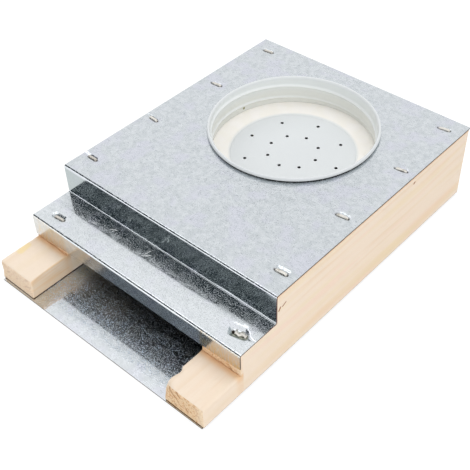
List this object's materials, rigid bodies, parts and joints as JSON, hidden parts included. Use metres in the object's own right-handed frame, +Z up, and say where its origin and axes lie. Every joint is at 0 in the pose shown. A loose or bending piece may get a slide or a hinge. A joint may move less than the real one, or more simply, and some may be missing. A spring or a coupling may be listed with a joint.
{
  "type": "hive entrance feeder",
  "caption": "Low stepped box of two wooden rails and bent sheet metal, with a perforated jar lid hung in a round hole, that feeds bees at a hive entrance.",
  "frame": {"origin": "centre of the footprint, at the underside of the floor sheet", "axes": "+X across the feeder towards its right rail, +Y from the tongues that enter the hive to the closed back, +Z up out of the open lid"},
  "size_m": [0.114, 0.1686, 0.038],
  "materials": {
    "wood": "sawn and unfinished",
    "galvanised_sheet": "bright galvanised",
    "staple_wire": "galvanised wire",
    "enamelled_tinplate": "gloss white enamel",
    "gasket_compound": "satin"
  },
  "bodies": {
    "feeder_box": {"left_rail": "wood", "right_rail": "wood", "top_sheet": "galvanised_sheet", "floor_sheet": "galvanised_sheet", "plate_staple_left_1": "staple_wire", "plate_staple_left_2": "staple_wire", "plate_staple_left_3": "staple_wire", "plate_staple_left_4": "staple_wire", "plate_staple_right_1": "staple_wire", "plate_staple_right_2": "staple_wire", "plate_staple_right_3": "staple_wire", "plate_staple_right_4": "staple_wire", "step_staple_left": "staple_wire", "step_staple_right": "staple_wire", "floor_front_staple_left": "staple_wire", "floor_front_staple_right": "staple_wire", "floor_staple_left_1": "staple_wire", "floor_staple_left_2": "staple_wire", "floor_staple_right_1": "staple_wire", "floor_staple_right_2": "staple_wire", "back_staple_left_1": "staple_wire", "back_staple_left_2": "staple_wire", "back_staple_right_1": "staple_wire", "back_staple_right_2": "staple_wire"},
    "lid": {"jar_lid": "enamelled_tinplate", "lid_gasket": "gasket_compound"}
  },
  "joints": [
    {"name": "lid_lift", "type": "slide", "parent": "feeder_box", "child": "lid", "axis": [0, 0, 1], "range_m": [0, 0.025]}
  ]
}
